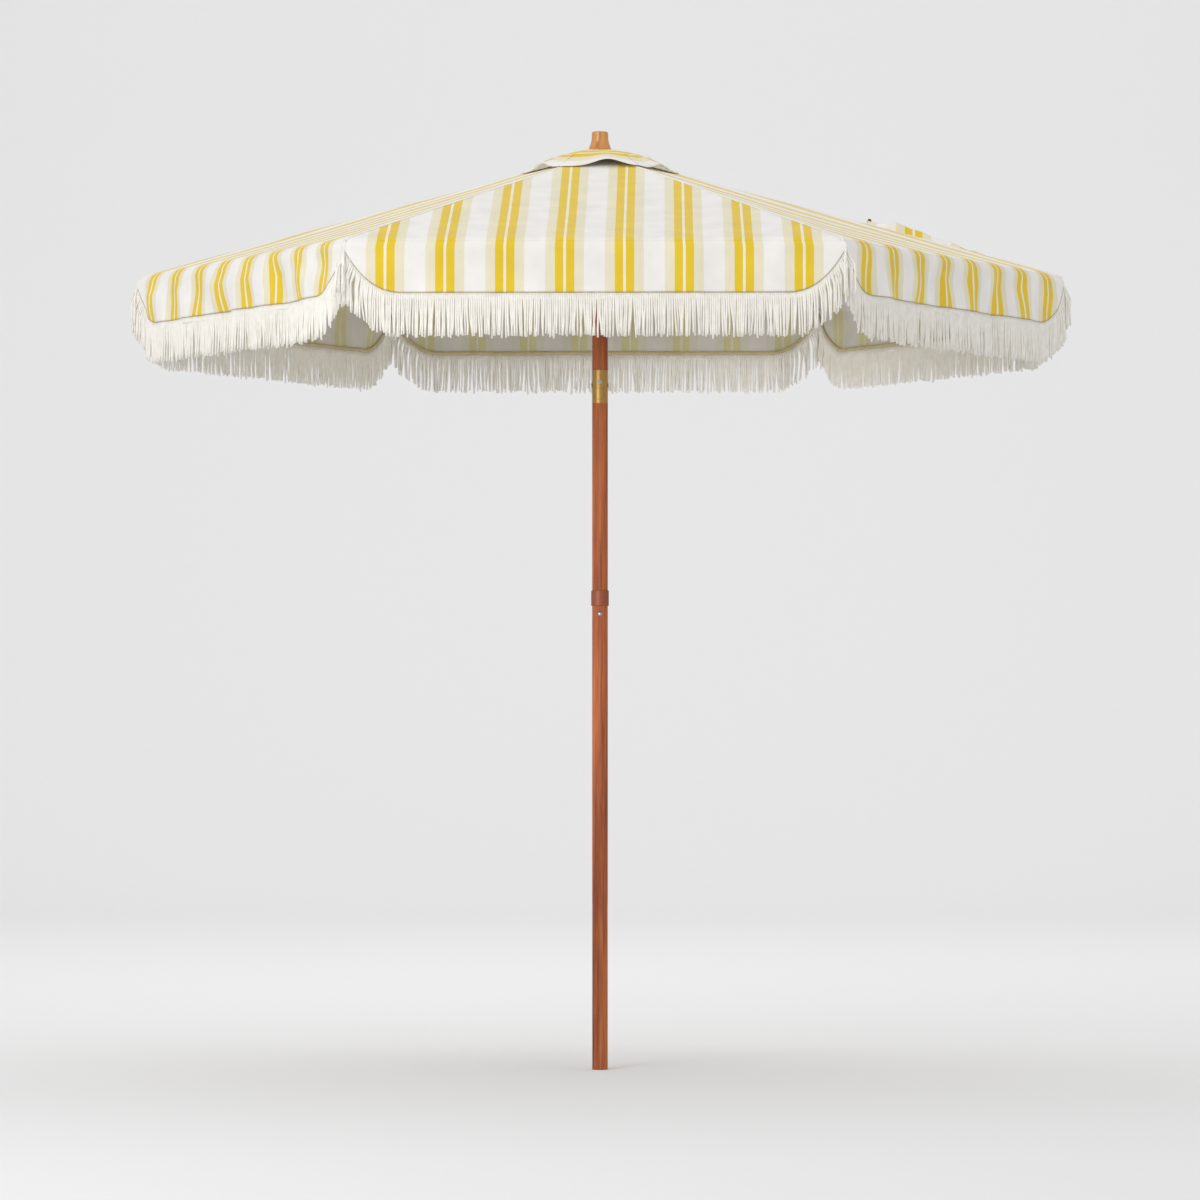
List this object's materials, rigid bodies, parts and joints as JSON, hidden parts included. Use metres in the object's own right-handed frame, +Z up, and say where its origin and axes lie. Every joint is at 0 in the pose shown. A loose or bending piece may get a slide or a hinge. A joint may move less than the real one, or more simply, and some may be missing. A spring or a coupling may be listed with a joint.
{
  "type": "beach umbrella",
  "caption": "Beach umbrella: striped hexagonal canopy with fringed valance and vent cap on a jointed, tilting wooden pole; it folds on hinged ribs and a sliding runner.",
  "frame": {"origin": "centre of the pole's foot, on the surface it stands on", "axes": "+Z up along the pole; the canopy's front panel faces -Y and the first rib points along +X"},
  "size_m": [2.2526, 1.953, 2.276],
  "materials": {
    "pole_wood": "stained and oiled, fine straight grain",
    "finial_wood": "clear gloss lacquer",
    "hub_wood": "satin lacquer",
    "ferrule_metal": "satin brown enamel",
    "steel": "plated, satin",
    "brass": "satin, clear coated",
    "frame_metal": "white powder coat",
    "canvas": "woven canvas, cream with white bands and yellow double stripes",
    "fringe_cotton": "twisted cotton cords"
  },
  "bodies": {
    "lower_pole": {"lower_pole": "pole_wood", "pole_ferrule": "ferrule_metal"},
    "pole_button": {"pole_button": "steel"},
    "middle_pole": {"middle_pole": "pole_wood", "pole_spigot": "steel", "tilt_housing": "brass", "tilt_rivet": "steel", "tilt_pin": "steel"},
    "tilt_button": {"tilt_button": "brass"},
    "upper_pole": {"upper_pole": "pole_wood", "tilt_tongue": "steel", "hub": "hub_wood", "hub_ring": "steel", "crown_collar": "hub_wood", "finial": "finial_wood", "finial_stud": "steel", "vent_cap": "canvas"},
    "rib_1": {"rib_1": "frame_metal", "rib_fittings_1": "frame_metal"},
    "stretcher_1": {"stretcher_1": "frame_metal"},
    "runner": {"runner": "hub_wood", "runner_ring": "steel"},
    "runner_catch": {"runner_catch": "steel"},
    "gore_1": {"gore_1": "canvas", "tie_strap": "canvas"},
    "valance_1": {"valance_1": "canvas", "fringe_1": "fringe_cotton"},
    "rib_2": {"rib_2": "frame_metal", "rib_fittings_2": "frame_metal"},
    "stretcher_2": {"stretcher_2": "frame_metal"},
    "gore_2": {"gore_2": "canvas"},
    "valance_2": {"valance_2": "canvas", "fringe_2": "fringe_cotton"},
    "rib_3": {"rib_3": "frame_metal", "rib_fittings_3": "frame_metal"},
    "stretcher_3": {"stretcher_3": "frame_metal"},
    "gore_3": {"gore_3": "canvas"},
    "valance_3": {"valance_3": "canvas", "fringe_3": "fringe_cotton"},
    "rib_4": {"rib_4": "frame_metal", "rib_fittings_4": "frame_metal"},
    "stretcher_4": {"stretcher_4": "frame_metal"},
    "gore_4": {"gore_4": "canvas"},
    "valance_4": {"valance_4": "canvas", "fringe_4": "fringe_cotton"},
    "rib_5": {"rib_5": "frame_metal", "rib_fittings_5": "frame_metal"},
    "stretcher_5": {"stretcher_5": "frame_metal"},
    "gore_5": {"gore_5": "canvas"},
    "valance_5": {"valance_5": "canvas", "fringe_5": "fringe_cotton"},
    "rib_6": {"rib_6": "frame_metal", "rib_fittings_6": "frame_metal"},
    "stretcher_6": {"stretcher_6": "frame_metal"},
    "gore_6": {"gore_6": "canvas"},
    "valance_6": {"valance_6": "canvas", "fringe_6": "fringe_cotton"}
  },
  "joints": [
    {"name": "pole_lift", "type": "slide", "parent": "lower_pole", "child": "middle_pole", "axis": [0, 0, 1], "range_m": [0, 0.125]},
    {"name": "pole_button_press", "type": "slide", "parent": "lower_pole", "child": "pole_button", "axis": [0, 1, 0], "range_m": [0, 0.0025], "stiffness_N_per_m": 800},
    {"name": "canopy_tilt", "type": "hinge", "parent": "middle_pole", "child": "upper_pole", "pos_m": [0, 0, 1.658], "axis": [-1, 0, 0], "range_deg": [0, 35]},
    {"name": "tilt_button_press", "type": "slide", "parent": "middle_pole", "child": "tilt_button", "axis": [0, 1, 0], "range_m": [0, 0.003], "stiffness_N_per_m": 800},
    {"name": "canopy_fold", "type": "hinge", "parent": "upper_pole", "child": "rib_1", "pos_m": [0.03, 0, 2.203], "axis": [0, 1, 0], "range_deg": [0, 71.25], "deforming": ["gore_1", "gore_2", "gore_3", "gore_4", "gore_5", "gore_6", "valance_1", "valance_2", "valance_3", "valance_4", "valance_5", "valance_6", "fringe_1", "fringe_2", "fringe_3", "fringe_4", "fringe_5", "fringe_6", "vent_cap", "tie_strap"]},
    {"name": "stretcher_1_swing", "type": "hinge", "parent": "rib_1", "child": "stretcher_1", "pos_m": [0.25865, 0, 2.13696], "axis": [0, 1, 0], "range_deg": [-142.5, 0]},
    {"name": "runner_travel", "type": "hinge", "parent": "stretcher_1", "child": "runner", "pos_m": [0.03, 0, 2.07092], "axis": [0, 1, 0], "range_deg": [0, 71.25]},
    {"name": "runner_catch_pull", "type": "slide", "parent": "runner", "child": "runner_catch", "axis": [0, 1, 0], "range_m": [0, 0.005], "stiffness_N_per_m": 800},
    {"name": "gore_1_fold", "type": "hinge", "parent": "upper_pole", "child": "gore_1", "pos_m": [0.02079, 0.012, 2.21562], "axis": [-0.5, 0.866, 0], "range_deg": [0, 69.4]},
    {"name": "valance_1_hang", "type": "hinge", "parent": "gore_1", "child": "valance_1", "pos_m": [0.84017, 0.48507, 1.91866], "axis": [-0.5, 0.866, 0], "range_deg": [-69.4, 0]},
    {"name": "rib_2_fold", "type": "hinge", "parent": "upper_pole", "child": "rib_2", "pos_m": [0.015, 0.02598, 2.203], "axis": [-0.866, 0.5, 0], "range_deg": [0, 71.25]},
    {"name": "stretcher_2_swing", "type": "hinge", "parent": "rib_2", "child": "stretcher_2", "pos_m": [0.12933, 0.224, 2.13696], "axis": [-0.866, 0.5, 0], "range_deg": [-142.5, 0]},
    {"name": "gore_2_fold", "type": "hinge", "parent": "upper_pole", "child": "gore_2", "pos_m": [0, 0.024, 2.21562], "axis": [-1, 0, 0], "range_deg": [0, 69.4]},
    {"name": "valance_2_hang", "type": "hinge", "parent": "gore_2", "child": "valance_2", "pos_m": [0, 0.97014, 1.91866], "axis": [-1, 0, 0], "range_deg": [-69.4, 0]},
    {"name": "rib_3_fold", "type": "hinge", "parent": "upper_pole", "child": "rib_3", "pos_m": [-0.015, 0.02598, 2.203], "axis": [-0.866, -0.5, 0], "range_deg": [0, 71.25]},
    {"name": "stretcher_3_swing", "type": "hinge", "parent": "rib_3", "child": "stretcher_3", "pos_m": [-0.12933, 0.224, 2.13696], "axis": [-0.866, -0.5, 0], "range_deg": [-142.5, 0]},
    {"name": "gore_3_fold", "type": "hinge", "parent": "upper_pole", "child": "gore_3", "pos_m": [-0.02079, 0.012, 2.21562], "axis": [-0.5, -0.866, 0], "range_deg": [0, 69.4]},
    {"name": "valance_3_hang", "type": "hinge", "parent": "gore_3", "child": "valance_3", "pos_m": [-0.84017, 0.48507, 1.91866], "axis": [-0.5, -0.866, 0], "range_deg": [-69.4, 0]},
    {"name": "rib_4_fold", "type": "hinge", "parent": "upper_pole", "child": "rib_4", "pos_m": [-0.03, 0, 2.203], "axis": [0, -1, 0], "range_deg": [0, 71.25]},
    {"name": "stretcher_4_swing", "type": "hinge", "parent": "rib_4", "child": "stretcher_4", "pos_m": [-0.25865, 0, 2.13696], "axis": [0, -1, 0], "range_deg": [-142.5, 0]},
    {"name": "gore_4_fold", "type": "hinge", "parent": "upper_pole", "child": "gore_4", "pos_m": [-0.02079, -0.012, 2.21562], "axis": [0.5, -0.866, 0], "range_deg": [0, 69.4]},
    {"name": "valance_4_hang", "type": "hinge", "parent": "gore_4", "child": "valance_4", "pos_m": [-0.84017, -0.48507, 1.91866], "axis": [0.5, -0.866, 0], "range_deg": [-69.4, 0]},
    {"name": "rib_5_fold", "type": "hinge", "parent": "upper_pole", "child": "rib_5", "pos_m": [-0.015, -0.02598, 2.203], "axis": [0.866, -0.5, 0], "range_deg": [0, 71.25]},
    {"name": "stretcher_5_swing", "type": "hinge", "parent": "rib_5", "child": "stretcher_5", "pos_m": [-0.12933, -0.224, 2.13696], "axis": [0.866, -0.5, 0], "range_deg": [-142.5, 0]},
    {"name": "gore_5_fold", "type": "hinge", "parent": "upper_pole", "child": "gore_5", "pos_m": [0, -0.024, 2.21562], "axis": [1, 0, 0], "range_deg": [0, 69.4]},
    {"name": "valance_5_hang", "type": "hinge", "parent": "gore_5", "child": "valance_5", "pos_m": [0, -0.97014, 1.91866], "axis": [1, 0, 0], "range_deg": [-69.4, 0]},
    {"name": "rib_6_fold", "type": "hinge", "parent": "upper_pole", "child": "rib_6", "pos_m": [0.015, -0.02598, 2.203], "axis": [0.866, 0.5, 0], "range_deg": [0, 71.25]},
    {"name": "stretcher_6_swing", "type": "hinge", "parent": "rib_6", "child": "stretcher_6", "pos_m": [0.12933, -0.224, 2.13696], "axis": [0.866, 0.5, 0], "range_deg": [-142.5, 0]},
    {"name": "gore_6_fold", "type": "hinge", "parent": "upper_pole", "child": "gore_6", "pos_m": [0.02079, -0.012, 2.21562], "axis": [0.5, 0.866, 0], "range_deg": [0, 69.4]},
    {"name": "valance_6_hang", "type": "hinge", "parent": "gore_6", "child": "valance_6", "pos_m": [0.84017, -0.48507, 1.91866], "axis": [0.5, 0.866, 0], "range_deg": [-69.4, 0]}
  ],
  "couplings": [
    {"joint": "stretcher_1_swing", "follows": "canopy_fold", "ratio": -2},
    {"joint": "runner_travel", "follows": "canopy_fold", "ratio": 1},
    {"joint": "gore_1_fold", "follows": "canopy_fold", "ratio": 0.974},
    {"joint": "valance_1_hang", "follows": "canopy_fold", "ratio": -0.974},
    {"joint": "rib_2_fold", "follows": "canopy_fold", "ratio": 1},
    {"joint": "stretcher_2_swing", "follows": "canopy_fold", "ratio": -2},
    {"joint": "gore_2_fold", "follows": "canopy_fold", "ratio": 0.974},
    {"joint": "valance_2_hang", "follows": "canopy_fold", "ratio": -0.974},
    {"joint": "rib_3_fold", "follows": "canopy_fold", "ratio": 1},
    {"joint": "stretcher_3_swing", "follows": "canopy_fold", "ratio": -2},
    {"joint": "gore_3_fold", "follows": "canopy_fold", "ratio": 0.974},
    {"joint": "valance_3_hang", "follows": "canopy_fold", "ratio": -0.974},
    {"joint": "rib_4_fold", "follows": "canopy_fold", "ratio": 1},
    {"joint": "stretcher_4_swing", "follows": "canopy_fold", "ratio": -2},
    {"joint": "gore_4_fold", "follows": "canopy_fold", "ratio": 0.974},
    {"joint": "valance_4_hang", "follows": "canopy_fold", "ratio": -0.974},
    {"joint": "rib_5_fold", "follows": "canopy_fold", "ratio": 1},
    {"joint": "stretcher_5_swing", "follows": "canopy_fold", "ratio": -2},
    {"joint": "gore_5_fold", "follows": "canopy_fold", "ratio": 0.974},
    {"joint": "valance_5_hang", "follows": "canopy_fold", "ratio": -0.974},
    {"joint": "rib_6_fold", "follows": "canopy_fold", "ratio": 1},
    {"joint": "stretcher_6_swing", "follows": "canopy_fold", "ratio": -2},
    {"joint": "gore_6_fold", "follows": "canopy_fold", "ratio": 0.974},
    {"joint": "valance_6_hang", "follows": "canopy_fold", "ratio": -0.974}
  ]
}
